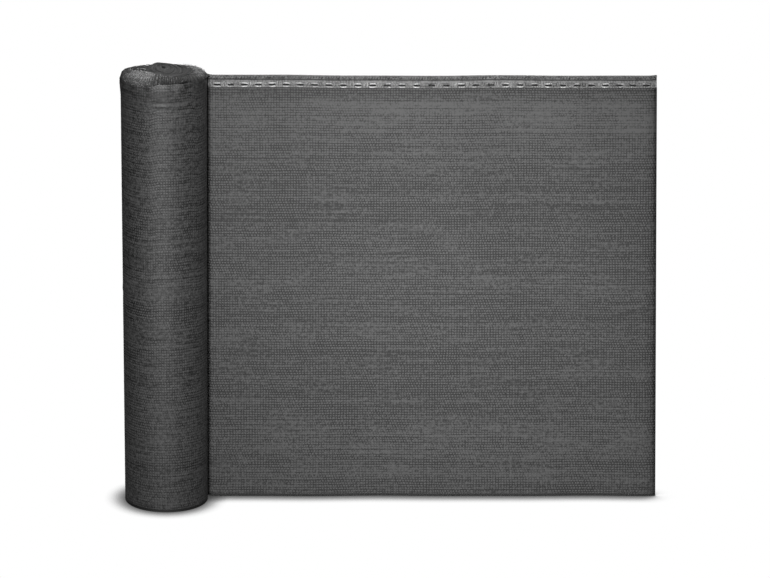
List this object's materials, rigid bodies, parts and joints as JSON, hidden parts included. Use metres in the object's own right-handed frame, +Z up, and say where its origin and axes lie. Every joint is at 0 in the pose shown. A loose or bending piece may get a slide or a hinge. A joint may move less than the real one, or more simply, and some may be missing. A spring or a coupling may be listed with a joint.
{
  "type": "privacy fence screen",
  "caption": "Dark knitted net screen for a fence, mostly wound into an upright roll, with a free length drawn off and buttonholes along its top edge.",
  "frame": {"origin": "on the floor at the roll's axis", "axes": "+X along the free cloth, away from the roll; -Y towards the side that faces the viewer; +Z up"},
  "size_m": [1.1985, 0.1995, 1.0282],
  "materials": {
    "wound_net": "matt knitted tape yarn, many layers",
    "net": "matt knitted tape yarn with fine holes",
    "band": "matt dense knit, lighter than the net"
  },
  "bodies": {
    "root": {"roll": "wound_net", "sheet": "net", "buttonhole_band": "band"}
  },
  "joints": []
}
